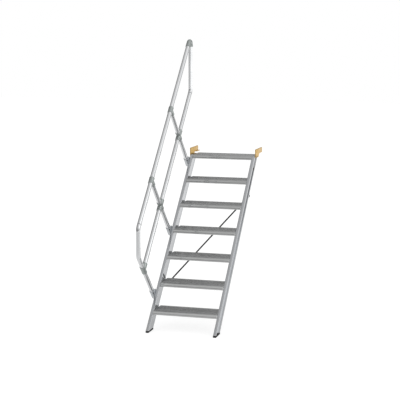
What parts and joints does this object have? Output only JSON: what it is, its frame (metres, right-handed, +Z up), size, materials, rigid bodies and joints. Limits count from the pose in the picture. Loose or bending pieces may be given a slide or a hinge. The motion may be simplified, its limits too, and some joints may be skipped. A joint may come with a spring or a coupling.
{
  "type": "aluminium stair",
  "caption": "Straight aluminium stair: open grooved treads between two inclined stringers, tubular handrail with knee rail on one side, rubber feet and top hooks.",
  "frame": {"origin": "on the flat rest face under the left top hook's arm, at its middle, where the stair lies on the platform edge", "axes": "+X along the treads towards the climber's right, +Y in the climbing direction, +Z up"},
  "size_m": [0.7185, 1.8537, 2.6003],
  "materials": {
    "tread_aluminium": "mill finish extrusion with grooves along its length",
    "stringer_aluminium": "mill finish extrusion",
    "tube_aluminium": "satin drawn tube",
    "cast_fitting": "fine cast surface",
    "bracket_aluminium": "satin",
    "joint_plastic": "matte",
    "dark_steel": "dull zinc",
    "yellow_zinc_steel": "yellow passivated zinc",
    "black_rubber": "matte"
  },
  "bodies": {
    "root": {"tread_1": "tread_aluminium", "tread_2": "tread_aluminium", "tread_3": "tread_aluminium", "tread_4": "tread_aluminium", "tread_5": "tread_aluminium", "tread_6": "tread_aluminium", "tread_7": "tread_aluminium", "left_stringer": "stringer_aluminium", "left_foot": "black_rubber", "left_top_hook": "yellow_zinc_steel", "right_stringer": "stringer_aluminium", "right_foot": "black_rubber", "right_top_hook": "yellow_zinc_steel", "diagonal_brace": "dark_steel", "brace_lugs": "dark_steel", "handrail": "tube_aluminium", "handrail_bow": "tube_aluminium", "top_riser": "tube_aluminium", "middle_post": "tube_aluminium", "upper_post": "tube_aluminium", "knee_rail_lower": "tube_aluminium", "knee_rail_middle": "tube_aluminium", "knee_rail_upper": "tube_aluminium", "handrail_fittings": "cast_fitting", "knee_rail_fittings": "cast_fitting", "post_brackets": "bracket_aluminium", "tube_joints": "joint_plastic"}
  },
  "joints": []
}
